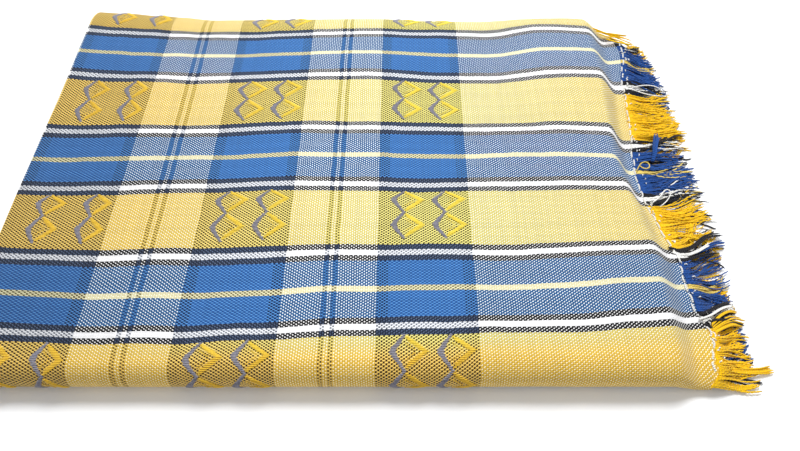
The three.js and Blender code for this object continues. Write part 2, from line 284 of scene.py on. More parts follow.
def rumple(points):
    """Adds the small unevenness of hand-woven cloth, less towards the surface that it lies on."""
    out = points.copy()
    for p in out.reshape(-1, 3):
        weight = min(1.0, max(0.0, (p[2] - 3.0) / 16.0))
        if weight:
            broad = noise.noise(Vector((p[0] / 42, p[1] / 60, 3.1)))
            fine = noise.noise(Vector((p[0] / 15, p[1] / 22, 7.7)))
            p[2] += weight * (RUMPLE_BROAD * broad + RUMPLE_FINE * fine)
    return out


def sway(x, y):
    """Shift of the stripes at a place on the top, in millimetres."""
    total = np.zeros_like(np.asarray(x, float) + np.asarray(y, float))
    for sx, sy, rx, ry, h in SWAYS:
        total = total + h * np.exp(-(((x - sx) / rx) ** 2) - ((y - sy) / ry) ** 2)
    fine = [noise.noise(Vector((a / 55, b / 90, 5.2))) for a, b in np.broadcast(x, y)]
    return total + FINE_SWAY * np.reshape(fine, total.shape)


def stretch(x):
    """Distance by which the pattern at x is drawn out to the left."""
    return LEFT_STRETCH * np.exp(-(((x - LEFT_STRETCH_AT) / LEFT_STRETCH_REACH) ** 2))


class Rows:
    """What depends on s alone, for a list of distances along the section."""

    def __init__(self, stops):
        self.s = np.array(stops, float)
        ends = [open_end(s) for s in stops]
        self.end = np.array([e for e, _ in ends])
        self.crease = np.array([c for _, c in ends])
        self.fold = LEFT_EDGE + np.array([left_inset(s) for s in stops]) + PAIR + SHEET / 2
        outer = [section_at(s, PAIR) for s in stops]
        inner = [section_at(s, -PAIR) for s in stops]
        self.outer, self.inner = np.array(outer), np.array(inner)
        self.v = np.array([stripe_at(s) for s in stops])


def middle(rows, parts, shares):
    """Middle of the sheet for each row and column."""
    fold, crease, end = (a[:, None] for a in (rows.fold, rows.crease, rows.end))
    share = np.asarray(shares, float)[None, :]
    parts = np.asarray(parts)[None, :]
    angle = np.pi * share
    x = np.select(
        [parts == "fall", parts == "outer", parts == "fold", parts == "lining"],
        [crease + (end - crease) * share, crease + (fold - crease) * share,
         fold - PAIR * np.sin(angle), fold + (LINING_END - fold) * share],
    )
    one = np.ones_like(angle)
    side = np.select([parts == "fold", parts == "lining"], [np.cos(angle), -one], one)
    mid = (rows.outer + rows.inner)[:, None, :] / 2
    half = (rows.outer - rows.inner)[:, None, :] / 2
    yz = mid + half * side[..., None]
    return lay(x, yz[..., 0], yz[..., 1])


def sheet_points(stops, parts, shares):
    """Middle points and outward normals of the sheet."""
    rows = Rows(stops)
    mid = middle(rows, parts, shares)
    s = np.array(stops, float)
    after = middle(Rows(np.minimum(s + NUDGE, LENGTH)), parts, shares)
    before = middle(Rows(np.maximum(s - NUDGE, 0)), parts, shares)
    across = after - before
    shares = np.asarray(shares, float)
    along = middle(rows, parts, shares + SHARE_NUDGE) - middle(rows, parts, shares - SHARE_NUDGE)
    along *= np.where(np.asarray(parts) == "fall", -1.0, 1.0)[None, :, None]
    normal = np.cross(across, along)
    normal /= np.linalg.norm(normal, axis=-1, keepdims=True)
    return rows, mid, normal


def outer_place(x, s):
    """The middle of the outer sheet at x along the warp and s round the section."""
    y, z = section_at(s, PAIR)
    return lay(np.array(x), np.array(y), np.array(z))


def outer_points(xs, ss, lifts):
    """Points of the outer sheet, each lifted off its middle."""
    out = []
    for x, s, lift in zip(xs, ss, lifts):
        along_s = outer_place(x, s + NUDGE) - outer_place(x, s - NUDGE)
        along_x = outer_place(x - NUDGE, s) - outer_place(x + NUDGE, s)
        normal = np.cross(along_s, along_x)
        out.append(outer_place(x, s) + normal / np.linalg.norm(normal) * lift)
    return np.array(out)


def s_of_stripe(v):
    """Distance round the section, on the outer sheet, at which the stripes' count is v."""
    outer = V_TOP - FRONT_C + TOP_PIECE["outer"] - v
    for piece in LAID:
        if outer <= piece["outer"] + piece["along"]:
            return piece["start"] + piece["length"] * (outer - piece["outer"]) / piece["along"]
    return LENGTH


def new_object(name, verts, faces, uvs):
    """A smooth-shaded mesh in the scene, from vertices in millimetres and cloth coordinates in metres."""
    mesh = bpy.data.meshes.new(name)
    mesh.from_pydata([tuple(v) for v in np.asarray(verts) * MM], [], faces)
    layer = mesh.uv_layers.new(name="cloth")
    index = np.empty(len(mesh.loops), dtype=np.int32)
    mesh.loops.foreach_get("vertex_index", index)
    layer.data.foreach_set("uv", np.asarray(uvs, dtype=np.float32)[index].ravel())
    mesh.polygons.foreach_set("use_smooth", [True] * len(mesh.polygons))
    mesh.update()
    obj = bpy.data.objects.new(name, mesh)
    bpy.context.scene.collection.objects.link(obj)
    return obj


def part_of(obj, material, slot, *nodes):
    obj.data.materials.append(material)
    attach(obj, "root")
    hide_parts(*nodes)
    return obj


# Materials

class Net:
    """Short calls for building a node tree."""

    def __init__(self, name):
        self.material = bpy.data.materials.new(name)
        self.material.use_nodes = True
        self.nodes = self.material.node_tree.nodes
        self.links = self.material.node_tree.links
        self.shader = self.nodes["Principled BSDF"]

    def put(self, socket, value):
        if isinstance(value, bpy.types.NodeSocket):
            self.links.new(value, socket)
        else:
            socket.default_value = value

    def math(self, op, a, b=None, c=None):
        node = self.nodes.new("ShaderNodeMath")
        node.operation = op
        for socket, value in zip(node.inputs, (a, b, c)):
            if value is not None:
                self.put(socket, value)
        return node.outputs[0]

    def mix(self, share, a, b):
        node = self.nodes.new("ShaderNodeMix")
        node.data_type = "RGBA"
        self.put(node.inputs[0], share)
        self.put(node.inputs[6], a)
        self.put(node.inputs[7], b)
        return node.outputs[2]

    def uv(self):
        node = self.nodes.new("ShaderNodeUVMap")
        node.uv_map = "cloth"
        split = self.nodes.new("ShaderNodeSeparateXYZ")
        self.links.new(node.outputs[0], split.inputs[0])
        return node.outputs[0], split.outputs[0], split.outputs[1]

    def noise(self, vector, scale, detail=2.0):
        node = self.nodes.new("ShaderNodeTexNoise")
        self.links.new(vector, node.inputs["Vector"])
        node.inputs["Scale"].default_value = scale
        node.inputs["Detail"].default_value = detail
        return node.outputs["Fac"]

    def random(self, value):
        node = self.nodes.new("ShaderNodeTexWhiteNoise")
        node.noise_dimensions = "1D"
        self.links.new(value, node.inputs["W"])
        return node.outputs["Value"]

    def steps(self, share, stops):
        """A ramp of flat colours: stops are (start, colour)."""
        node = self.nodes.new("ShaderNodeValToRGB")
        ramp = node.color_ramp
        ramp.interpolation = "CONSTANT"
        while len(ramp.elements) < len(stops):
            ramp.elements.new(0.5)
        for element, (start, colour) in zip(ramp.elements, stops):
            element.position = start
            element.color = colour
        self.put(node.inputs[0], share)
        return node.outputs[0]

    def ramp(self, value, start, end, first, last):
        """Eases from first at start to last at end."""
        node = self.nodes.new("ShaderNodeMapRange")
        node.interpolation_type = "SMOOTHSTEP"
        self.links.new(value, node.inputs["Value"])
        limits = {"From Min": start, "From Max": end, "To Min": first, "To Max": last}
        for name, number in limits.items():
            node.inputs[name].default_value = number
        return node.outputs[0]

    def painted_light_share(self, u, v):
        """Share of the painted light that makes the yellow paler: most on the middle of the top, none from
        the front roll on.
        """
        far = self.math("MULTIPLY", self.math("SUBTRACT", u, PAINTED_LIGHT_MIDDLE * MM), 1 / (PAINTED_LIGHT_REACH * MM))
        along = self.math("EXPONENT", self.math("MULTIPLY", self.math("MULTIPLY", far, far), -1.0))
        return self.math("MULTIPLY", along, self.ramp(v, PAINTED_LIGHT_FROM * MM, PAINTED_LIGHT_TO * MM, 1.0, 0.0))

    def bump(self, height, distance, strength):
        node = self.nodes.new("ShaderNodeBump")
        node.inputs["Distance"].default_value = distance
        node.inputs["Strength"].default_value = strength
        self.links.new(height, node.inputs["Height"])
        self.links.new(node.outputs[0], self.shader.inputs["Normal"])

    def finish(self, colour, roughness, sheen):
        self.put(self.shader.inputs["Base Color"], colour)
        self.shader.inputs["Roughness"].default_value = roughness
        self.shader.inputs["Sheen Weight"].default_value = sheen
        self.shader.inputs["Sheen Roughness"].default_value = 0.5
        self.shader.inputs["Specular IOR Level"].default_value = 0.2
        return self.material


def srgb(*channels):
    """A colour from its screen values, 0 to 255."""
    shares = [c / 255 for c in channels]
    return tuple(c / 12.92 if c <= 0.04045 else ((c + 0.055) / 1.055) ** 2.4 for c in shares) + (1.0,)


# Colours of the yarns in each stripe: the warp where the weft is plain, the same in the brocade bands, and
# the weft at the brocade bands' edges, inside them and between them
WARP = {
    "yellow": srgb(224, 188, 74),
    "black": srgb(16, 17, 22),
    "white": srgb(246, 246, 248),
    "blue": srgb(48, 103, 152),
    "cream": srgb(232, 226, 186),
}
BROCADE_WARP = {
    "yellow": srgb(242, 208, 118),
    "black": srgb(40, 50, 70),
    "white": srgb(238, 240, 244),
    "blue": srgb(90, 147, 205),
    "cream": srgb(232, 228, 192),
}
BORDER_WEFT = {
    "yellow": srgb(40, 22, 8),
    "black": srgb(76, 90, 116),
    "white": srgb(96, 102, 114),
    "blue": srgb(8, 24, 70),
    "cream": srgb(92, 76, 44),
}
INSIDE_WEFT = {
    "yellow": srgb(40, 24, 14),
    "black": srgb(88, 104, 132),
    "white": srgb(116, 122, 134),
    "blue": srgb(36, 82, 148),
    "cream": srgb(116, 108, 76),
}
PLAIN_WEFT = {
    "yellow": srgb(252, 240, 202),
    "black": srgb(240, 240, 240),
    "white": srgb(252, 252, 252),
    "blue": srgb(238, 246, 252),
    "cream": srgb(250, 249, 232),
}
# Painted light: the yellow and the gold are painted paler on the middle of the top than elsewhere, where
# bright light washes them out
PAINTED_LIGHT_WARP = srgb(218, 207, 128)
PAINTED_LIGHT_BROCADE_WARP = srgb(240, 232, 150)
PAINTED_LIGHT_WEFT = srgb(242, 248, 242)
PAINTED_LIGHT_FROM, PAINTED_LIGHT_TO = 426.0, 452.0  # where that changes, across the stripes
PAINTED_LIGHT_MIDDLE, PAINTED_LIGHT_REACH = 70.0, 262.0  # the same along the warp
WANDER = 1.1  # how far the yarns wander from their straight lines, in yarns
LINE_HALF = 0.9  # half width of a thin dark line, in yarns
EDGE_YARNS = 4.6  # width of a brocade band's darker edge
LEAN_MOST = 0.6  # the dots lean one way at the left end and the other way past the middle
LEAN_STEEP = 7.0
LEAN_TURN = 0.03  # where they stand upright, in metres left of the middle
# How much higher the weft has to stand than the warp before it shows, in each kind of band
BIAS_PLAIN = 0.58
BIAS_BORDER = 0.04
BIAS_INSIDE = 0.1
BIAS_LINE = 0.16
OVER_STEEP = 5.0  # how sharp the change from warp to weft is
ROUGH = 0.5  # how ragged it is
LINE_SUNK = 0.1  # how far the thin lines' weft sinks into the warp
LINE_BRIGHT = 0.8  # how far their warp goes towards the brocade's
GROOVE_PAINTED_SHADE = 0.8  # painted shade: how much darker the grooves between yarns are
YARN_UNEVEN, WEFT_UNEVEN, CLOUD_UNEVEN = 0.10, 0.07, 0.10  # how far yarns and patches differ in brightness
# Painted shade: the cloth is painted darker towards its left end, where the light falls off, and less so at
# the back:
# by how much in the light bands, how much more in the dark ones, and how much less in the yellow stripes
LEFT_FROM, LEFT_TO = LEFT_EDGE + 20, LEFT_EDGE + 270
BACK_FROM, BACK_TO, BACK_SHARE = 60, 330, 0.5
LEFT_PAINTED_SHADE_LIGHT, LEFT_PAINTED_SHADE_DARK, LEFT_PAINTED_SHADE_YELLOW = -0.18, -0.12, 0.1
YARN_TWIST, THREAD_TWIST = 2.2, 1.6  # length of one turn of the twist, in millimetres
GREY = (srgb(160, 158, 168), srgb(84, 84, 108))
GOLD = (srgb(240, 200, 62), srgb(206, 158, 36))
# Painted light: paler gold for the middle of the top
PAINTED_LIGHT_GOLD = (srgb(250, 232, 88), srgb(228, 192, 48))


def stripe_stops(colours):
    """Start and colour of each stripe in one repeat."""
    stops, at = [], 0.0
    for name, count in STRIPES:
        stops.append((at / REPEAT, colours[name]))
        at += count
    return stops


def woven_cloth():
    """Each yarn's place, height and colour, worked out from the distances along and across the warp."""
    net = Net("woven_cloth")
    vector, u, v = net.uv()
    m = net.math
    wander = m("SUBTRACT", net.noise(vector, 38.0), 0.5)
    drift = m("SUBTRACT", net.noise(vector, 61.0), 0.5)
    from_band = m("SUBTRACT", u, BAND_START * MM)
    fu = m("MULTIPLY_ADD", from_band, 1 / (WEFT_PITCH * MM), m("MULTIPLY", wander, WANDER))
    fv = m("MULTIPLY_ADD", v, 1 / (WARP_PITCH * MM), m("MULTIPLY", drift, WANDER))
    i, j = m("FLOOR", fu), m("FLOOR", fv)
    across = m("SUBTRACT", m("SUBTRACT", fu, i), 0.5)
    along = m("SUBTRACT", m("SUBTRACT", fv, j), 0.5)
    # Bands of the weft: brocade, and the thin dark lines between
    w = m("FLOORED_MODULO", i, BAND_YARNS)
    before_hem = m("LESS_THAN", i, BROCADE_YARNS)
    brocade = m("MULTIPLY", m("LESS_THAN", w, BROCADE_YARNS), before_hem)
    first_line, second_line = (m("COMPARE", w, at, LINE_HALF) for at in BAND_LINES)
    line = m("MULTIPLY", m("ADD", first_line, second_line), before_hem)
    dark = m("MAXIMUM", brocade, line)
    from_middle = m("ABSOLUTE", m("SUBTRACT", w, (BROCADE_YARNS - 1) / 2))
    inside = m("MULTIPLY", brocade, m("LESS_THAN", from_middle, BROCADE_YARNS / 2 - EDGE_YARNS))
    # Yarn heights of a plain weave whose dots lean along one diagonal
    slope = m("MULTIPLY", m("ADD", u, LEAN_TURN), -LEAN_STEEP)
    lean = m("MINIMUM", m("MAXIMUM", slope, -LEAN_MOST), LEAN_MOST)
    a = m("ABSOLUTE", m("SUBTRACT", across, m("MULTIPLY", along, lean)))
    b = m("ABSOLUTE", along)
    warp_turn = m("MULTIPLY", m("ADD", m("SUBTRACT", fu, 0.5), j), math.pi)
    weft_turn = m("MULTIPLY", m("ADD", m("SUBTRACT", fv, 0.5), i), math.pi)
    warp_wave = m("MULTIPLY_ADD", m("COSINE", warp_turn), 0.5, 0.5)
    weft_wave = m("MULTIPLY_ADD", m("COSINE", weft_turn), -0.5, 0.5)
    warp_round = m("SUBTRACT", 1.0, m("POWER", m("MULTIPLY", b, 2.0), 3.0))
    thin = m("MULTIPLY_ADD", dark, 0.3, 2.0)
    weft_round = m("MAXIMUM", m("SUBTRACT", 1.0, m("POWER", m("MULTIPLY", a, thin), 3.0)), 0.0)
    warp_high = m("MULTIPLY", warp_wave, warp_round)
    weft_high = m("MULTIPLY", weft_wave, weft_round)
    bias = m("MULTIPLY_ADD", brocade, BIAS_BORDER - BIAS_PLAIN, BIAS_PLAIN)
    bias = m("MULTIPLY_ADD", inside, BIAS_INSIDE - BIAS_BORDER, bias)
    bias = m("MULTIPLY_ADD", line, BIAS_LINE - BIAS_PLAIN, bias)
    rough = m("MULTIPLY_ADD", net.noise(vector, 520.0, 1.0), ROUGH, -ROUGH / 2)
    above = m("SUBTRACT", m("SUBTRACT", weft_high, warp_high), bias)
    over = m("MULTIPLY_ADD", m("ADD", above, rough), OVER_STEEP, 0.5)
    over = m("MINIMUM", m("MAXIMUM", over, 0.0), 1.0)
    height = m("MAXIMUM", warp_high, weft_high)
    # Colours
    stripe = m("FLOORED_MODULO", m("DIVIDE", m("ADD", j, 0.5), float(REPEAT)), 1.0)
    # Painted light: share of the paler, washed-out copies of the yellow on the middle of the top
    pale = net.painted_light_share(u, v)

    def colours(usual, painted_light_yellow=None):
        steps = net.steps(stripe, stripe_stops(usual))
        if painted_light_yellow is None:
            return steps
        return net.mix(pale, steps, net.steps(stripe, stripe_stops(dict(usual, yellow=painted_light_yellow))))

    bright = m("MULTIPLY_ADD", line, LINE_BRIGHT, brocade)
    warp = net.mix(bright, colours(WARP, PAINTED_LIGHT_WARP), colours(BROCADE_WARP, PAINTED_LIGHT_BROCADE_WARP))
    dark_weft = net.mix(inside, colours(BORDER_WEFT), colours(INSIDE_WEFT))
    dark_weft = net.mix(m("MULTIPLY", line, LINE_SUNK), dark_weft, warp)
    weft = net.mix(dark, colours(PLAIN_WEFT, PAINTED_LIGHT_WEFT), dark_weft)
    colour = net.mix(over, warp, weft)
    # Painted shade: the low places between the yarns are darkened
    gamma = net.nodes.new("ShaderNodeGamma")
    net.links.new(colour, gamma.inputs[0])
    net.put(gamma.inputs[1], m("MULTIPLY_ADD", m("SUBTRACT", 1.0, height), GROOVE_PAINTED_SHADE, 0.9))
    warp_tone = m("MULTIPLY", net.random(j), YARN_UNEVEN)
    yarn_tone = m("ADD", warp_tone, m("MULTIPLY", net.random(m("ADD", i, 300.5)), WEFT_UNEVEN))
    cloud = net.noise(vector, 14.0, 4.0)
    shade = m("ADD", m("ADD", yarn_tone, m("MULTIPLY", cloud, CLOUD_UNEVEN)), 0.86)
    value = net.nodes.new("ShaderNodeHueSaturation")
    net.links.new(gamma.outputs[0], value.inputs["Color"])
    # Painted shade: darker towards the left end, less so at the back, standing in for the light falling off
    # there
    left = net.ramp(u, LEFT_FROM * MM, LEFT_TO * MM, 1.0, 0.0)
    front = net.ramp(v, BACK_FROM * MM, BACK_TO * MM, BACK_SHARE, 1.0)
    from_blue = m("ABSOLUTE", m("SUBTRACT", stripe, 0.5))
    yellow = m("GREATER_THAN", from_blue, 0.5 - YELLOW_YARNS / 2 / REPEAT)
    darker = m("MULTIPLY_ADD", yellow, LEFT_PAINTED_SHADE_YELLOW, m("MULTIPLY_ADD", dark, LEFT_PAINTED_SHADE_DARK, LEFT_PAINTED_SHADE_LIGHT))
    painted_shade = m("MULTIPLY_ADD", m("MULTIPLY", left, front), darker, 1.0)
    net.put(value.inputs["Value"], m("MULTIPLY", shade, painted_shade))
    net.bump(height, 0.0005, 0.8)
    return net.finish(value.outputs[0], 0.92, 0.15)


def inlay(name, usual, paler):
    """Glossier yarn of the diamonds: light and dark colour, and the same with painted light where the
    yellow is painted paler.
    """
    net = Net(name)
    vector, u, v = net.uv()
    grain = net.noise(vector, 900.0, 3.0)
    strand = net.math("SINE", net.math("MULTIPLY", v, 2 * math.pi / (FLOAT_STEP * MM)))
    # Painted light: paler colours on the middle of the top
    pale = net.painted_light_share(u, v)
    light, dark = (net.mix(pale, a, b) for a, b in zip(usual, paler))
    shade = net.mix(net.math("MULTIPLY_ADD", grain, 1.3, -0.3), light, dark)
    net.bump(net.math("ADD", strand, grain), 0.0003, 0.6)
    return net.finish(shade, 0.75, 0.25)


def fringe_yarn():
    """Unwoven warp yarn in the colour of its stripe."""
    net = Net("fringe_yarn")
    vector, u, v = net.uv()
    m = net.math
    j = m("FLOOR", m("DIVIDE", v, WARP_PITCH * MM))
    stripe = m("FLOORED_MODULO", m("DIVIDE", m("ADD", j, 0.5), float(REPEAT)), 1.0)
    colours = {
        "yellow": srgb(244, 196, 14),
        "black": srgb(26, 26, 32),
        "white": srgb(244, 244, 240),
        "blue": srgb(28, 76, 148),
        "cream": srgb(232, 206, 110),
    }
    warp = net.steps(stripe, stripe_stops(colours))
    twist = m("SINE", m("MULTIPLY", u, 2 * math.pi / (YARN_TWIST * MM)))
    fuzz = net.noise(vector, 900.0, 3.0)
    tone = net.noise(vector, 45.0, 1.0)
    value = net.nodes.new("ShaderNodeHueSaturation")
    net.links.new(warp, value.inputs["Color"])
    uneven = m("MULTIPLY_ADD", fuzz, 0.4, m("MULTIPLY_ADD", tone, 0.8, 0.42))
    shade = m("MULTIPLY_ADD", twist, 0.06, uneven)
    net.put(value.inputs["Value"], shade)
    net.bump(m("ADD", twist, fuzz), 0.0003, 0.8)
    return net.finish(value.outputs[0], 0.85, 0.12)


def white_thread():
    """Twisted white sewing thread."""
    net = Net("white_thread")
    vector, u, v = net.uv()
    turns = net.math("ADD", net.math("DIVIDE", u, THREAD_TWIST * MM), v)
    twist = net.math("SINE", net.math("MULTIPLY", turns, 2 * math.pi))
    fuzz = net.noise(vector, 700.0, 3.0)
    shade = net.mix(net.math("MULTIPLY_ADD", twist, 0.5, 0.5), srgb(206, 204, 198), srgb(250, 249, 246))
    net.bump(net.math("ADD", twist, fuzz), 0.0003, 0.8)
    return net.finish(shade, 0.8, 0.2)


# Cloth

PARTS = (  # columns of the sheet, from its outer end round the fold at the left to its inner end
    [("fall", 1 - i / 22) for i in range(22)]
    + [("outer", i / 96) for i in range(96)]
    + [("fold", i / 8) for i in range(8)]
    + [("lining", i / 14) for i in range(15)]
)


def cloth_stops():
    """Distances round the section at which the sheet has a row of points."""
    stops = [0.0]
    for piece in LAID:
        steps = piece["steps"]
        stops += [piece["start"] + piece["length"] * k / steps for k in range(1, steps + 1)]
    return stops


def make_cloth():
    """The woven sheet, closed round its edges, with its distances along and across the warp."""
    parts, shares = [p for p, _ in PARTS], [t for _, t in PARTS]
    rows, mid, normal = sheet_points(cloth_stops(), parts, shares)
    n_rows, n_cols = mid.shape[:2]
    faces_points = [mid + normal * SHEET / 2, mid - normal * SHEET / 2]
    verts = np.concatenate([rumple(p).reshape(-1, 3) for p in faces_points])
    # Distance along the warp: x on the flat top, and true length from there on both ways
    first_outer = parts.index("outer")
    steps = np.linalg.norm(np.diff(mid, axis=1), axis=-1)
    u = np.zeros((n_rows, n_cols))
    u[:, first_outer] = rows.crease
    for c in range(first_outer, n_cols - 1):
        u[:, c + 1] = u[:, c] - steps[:, c]
    for c in range(first_outer, 0, -1):
        u[:, c - 1] = u[:, c] + steps[:, c - 1]
    u += stretch(u)
    v = rows.v[:, None] - sway(mid[..., 0], mid[..., 1])
    uv = np.stack([u, v], axis=-1).reshape(-1, 2) * MM
    uvs = np.concatenate([uv, uv])
    count = n_rows * n_cols

    def at(face, r, c):
        return face * count + r * n_cols + c

    faces = []
    for r in range(n_rows - 1):
        for c in range(n_cols - 1):
            faces.append((at(0, r, c), at(0, r + 1, c), at(0, r + 1, c + 1), at(0, r, c + 1)))
            faces.append((at(1, r, c), at(1, r, c + 1), at(1, r + 1, c + 1), at(1, r + 1, c)))
        last = n_cols - 1
        faces.append((at(0, r, 0), at(1, r, 0), at(1, r + 1, 0), at(0, r + 1, 0)))
        faces.append((at(0, r, last), at(0, r + 1, last), at(1, r + 1, last), at(1, r, last)))
    last = n_rows - 1
    for c in range(n_cols - 1):
        faces.append((at(0, 0, c), at(0, 0, c + 1), at(1, 0, c + 1), at(1, 0, c)))
        faces.append((at(0, last, c), at(1, last, c), at(1, last, c + 1), at(0, last, c + 1)))
    return new_object("cloth", verts, faces, uvs)


# Tubes for yarns

class Tubes:
    """Gathers many yarns into one mesh."""

    def __init__(self, sides):
        self.sides = sides
        self.verts, self.faces, self.uvs = [], [], []

    def add(self, path, radii, v, u_start=0.0, flat=1.0):
        """One yarn along a path, in millimetres. v is its place in the stripes."""
        path = np.asarray(path, float)
        n = len(path)
        tangent = np.gradient(path, axis=0)
        tangent /= np.linalg.norm(tangent, axis=1, keepdims=True) + 1e-9
        up = np.array([0.0, 0.0, 1.0])
        base = len(self.verts)
        length = np.concatenate([[0], np.cumsum(np.linalg.norm(np.diff(path, axis=0), axis=1))])
        for k in range(n):
            side = np.cross(tangent[k], up)
            if np.linalg.norm(side) < 0.2:
                side = np.cross(tangent[k], np.array([0.0, 1.0, 0.0]))
            side /= np.linalg.norm(side)
            top = np.cross(side, tangent[k])
            for q in range(self.sides):
                angle = 2 * math.pi * q / self.sides
                out = math.cos(angle) * side + flat * math.sin(angle) * top
                self.verts.append(path[k] + radii[k] * out)
                self.uvs.append(((u_start + length[k]) * MM, v * MM))
        for k in range(n - 1):
            for q in range(self.sides):
                ring = base + k * self.sides
                a, b = ring + q, ring + (q + 1) % self.sides
                self.faces.append((a, b, b + self.sides, a + self.sides))
        self.faces.append(tuple(base + q for q in reversed(range(self.sides))))
        self.faces.append(tuple(base + (n - 1) * self.sides + q for q in range(self.sides)))

    def build(self, name):
        return new_object(name, self.verts, self.faces, self.uvs)


# Brocade diamonds

DIAMOND_HALF = 12.7  # half height, across the stripes
GREY_HALF = 15.1  # the grey strokes run on from one diamond to the next
DIAMOND_LEFT = 11.5
DIAMOND_RIGHT = 15.8
END_BAND = -2  # the leftmost band, whose diamonds lie further right and are narrower
END_SHIFT, END_WIDTH = 5.0, 0.75
DIAMOND_COLUMNS = (25.0, 64.7)  # apexes, from a band's left edge
DIAMOND_ROWS = (0.0, 30.0)  # centres, from the first one
FIRST_ROW = {0: 11.5, 1: 12.0, 2: 10.5, 3: 15.5}  # the first centre from each yellow stripe's back edge
OTHER_ROW = 12.0
STRIPE_MARGIN = 0.8  # what stays clear of floats at the stripe's edges
FLOAT_STEP = 1.43
FLOAT_SIDES = 5
GREY_THICK, GOLD_THICK, DOT_THICK = 0.64, 0.66, 0.4
GREY_ROUND = 0.16  # how round the grey strokes' turns are
FLOAT_STRAY, FLOAT_GROW = 0.2, (0.9, 1.12)  # how far floats differ in place and in length


def diamond_places():
    """Every diamond's apex and centre, the stripe's limits and the width, in millimetres."""
    places = []
    yellow = YELLOW_YARNS * WARP_PITCH
    repeat = REPEAT * WARP_PITCH
    for band in (END_BAND, -1, 0):
        shift, width = (END_SHIFT, END_WIDTH) if band == END_BAND else (0.0, 1.0)
        left = BAND_START + band * BAND_YARNS * WEFT_PITCH + shift
        for k in range(7):
            back = k * repeat - yellow / 2
            for row in DIAMOND_ROWS:
                for column in DIAMOND_COLUMNS:
                    centre = back + FIRST_ROW.get(k, OTHER_ROW) + row
                    limits = (back + STRIPE_MARGIN, back + yellow - STRIPE_MARGIN)
                    places.append((left + column, centre, *limits, width))
    return places


def unswayed(x, v):
    """Distance round the section of a place in the pattern, at x."""
    y = V_TOP - v
    return s_of_stripe(v + float(sway(x, max(y, FRONT_EDGE))))


def add_float(tubes, x, v, half, thick):
    """One raised float along the warp's direction, centred on a place in the pattern."""
    x -= float(stretch(x - LEFT_STRETCH / 2))
    s = unswayed(x, v)
    if s < 2 or s > SECOND_START:
        return
    t = np.array([-1.0, -0.8, 0.0, 0.8, 1.0])
    lift = SHEET / 2 + np.array([-0.2, 0.15, 0.34, 0.15, -0.2])
    points = rumple(outer_points(x + half * t, np.full(5, s), lift))
    tubes.add(points, thick * np.array([0.5, 0.95, 1.05, 0.95, 0.5]), v, u_start=x - half, flat=0.75)


def make_brocade(kind):
    """Short floats, one per row, that step out to a tip and back."""
    tubes = Tubes(FLOAT_SIDES)
    for x0, v0, v_least, v_most, width in diamond_places():
        half_height = GREY_HALF if kind == "grey" else DIAMOND_HALF
        above, below = min(half_height, v0 - v_least), min(half_height, v_most - v0)
        count = round((above + below) / FLOAT_STEP)
        for n in range(count + 1):
            dv = -above + (above + below) * n / count
            height = above if dv < 0 else below
            out = 1 - abs(dv) / height
            jitter = rng.normal(0, FLOAT_STRAY)
            grow = rng.uniform(*FLOAT_GROW)
            if kind == "grey":
                out = 1.1 - math.hypot(dv / height, GREY_ROUND)
                half = (1.2 + 2.0 * out) * grow
                x = x0 + 0.4 - DIAMOND_LEFT * width * out + jitter
                add_float(tubes, x, v0 + dv, half, GREY_THICK)
            else:
                reach = DIAMOND_RIGHT * width * out
                half = min(3.5 * grow, 1.4 + reach / 2)
                add_float(tubes, x0 + 2.0 + reach - half * 0.3 + jitter, v0 + dv, half, GOLD_THICK)
                if 0.35 < out < 0.9:
                    add_float(tubes, x0 + reach - 6.5, v0 + dv, 0.9 * grow, DOT_THICK)
    return tubes.build("brocade_" + kind)


# Fringe

STITCH = [  # line of the stitch past the crease: x and y
    (297, 194), (298, 176), (289, 126), (287, 102), (286, 63), (280, 26), (277, 0), (278, -16), (278, -38),
    (280, -52), (285, -76), (290, -97), (293, -108), (293, -132), (293, -148), (295, -170), (299, -179),
    (302, -190), (300, -204), (297, -218), (298, -226),
]
GROUPS = [  # stripes whose warp ends hang together: width across, and how far they draw together
    ("yellow", YELLOW_YARNS * WARP_PITCH, 0.05),
    ("edge", 12 * WARP_PITCH, 0.6),
    ("blue", 18 * WARP_PITCH, 0.2),
    ("line", 4 * WARP_PITCH, 0.4),
    ("blue", 18 * WARP_PITCH, 0.2),
    ("edge", 12 * WARP_PITCH, 0.6),
]
# Lean of the fringe towards the back: place across the stripes, and radians
LEAN_V, LEAN = np.array([
    (15, -0.2), (45, -0.05), (75, -0.25), (88, -0.05), (152, 0), (190, 0.1), (205, 0.3), (229, 0.1),
    (245, 0.2), (305, 0.2), (322, 0.4), (343, 0.62), (352, 0.6), (362, 0.3), (380, 0.12),
    (395, 0.12), (408, 0.4), (418, 0.8), (428, 0.5), (440, 0.3), (462, 0.15), (476, 0.45),
    (486, 0.6), (500, 0.5), (520, 0.3), (560, 0.15),
], float).T
FRONT_TURN = -222.0  # y at which the yarns come from under the front roll
CRIMP = 4.2  # wave that the weft has left in an unwoven yarn
LOCK_YARNS = (4, 10)  # yarns in a lock, from and up to
LOCK_LEAN, LOCK_BEND = 0.12, 0.36  # spread of the locks' lean and bend, in radians
YARN_LEAN, YARN_BEND = 0.09, 0.22  # the same of each yarn in its lock
LOCK_LENGTH, YARN_LENGTH = (0.78, 1.0), (0.86, 1.06)  # shares of the full length
YARN_RADIUS = (0.55, 0.8)
CURL = 0.27
CRIMP_SIDE, CRIMP_UP = (0.15, 0.5), 0.25
FRONT_BEND = 0.6
YARN_STEPS = 24
YARN_SIDES = 5


def group_at(v):
    """Middle and draw of the group that holds a place across the stripes."""
    start = -GROUPS[0][1] / 2
    period = REPEAT * WARP_PITCH
    turns = math.floor((v - start) / period)
    place = start + turns * period
    for _, width, draw in GROUPS:
        if v < place + width:
            return place + width / 2, draw
        place += width
    return place, 0.0


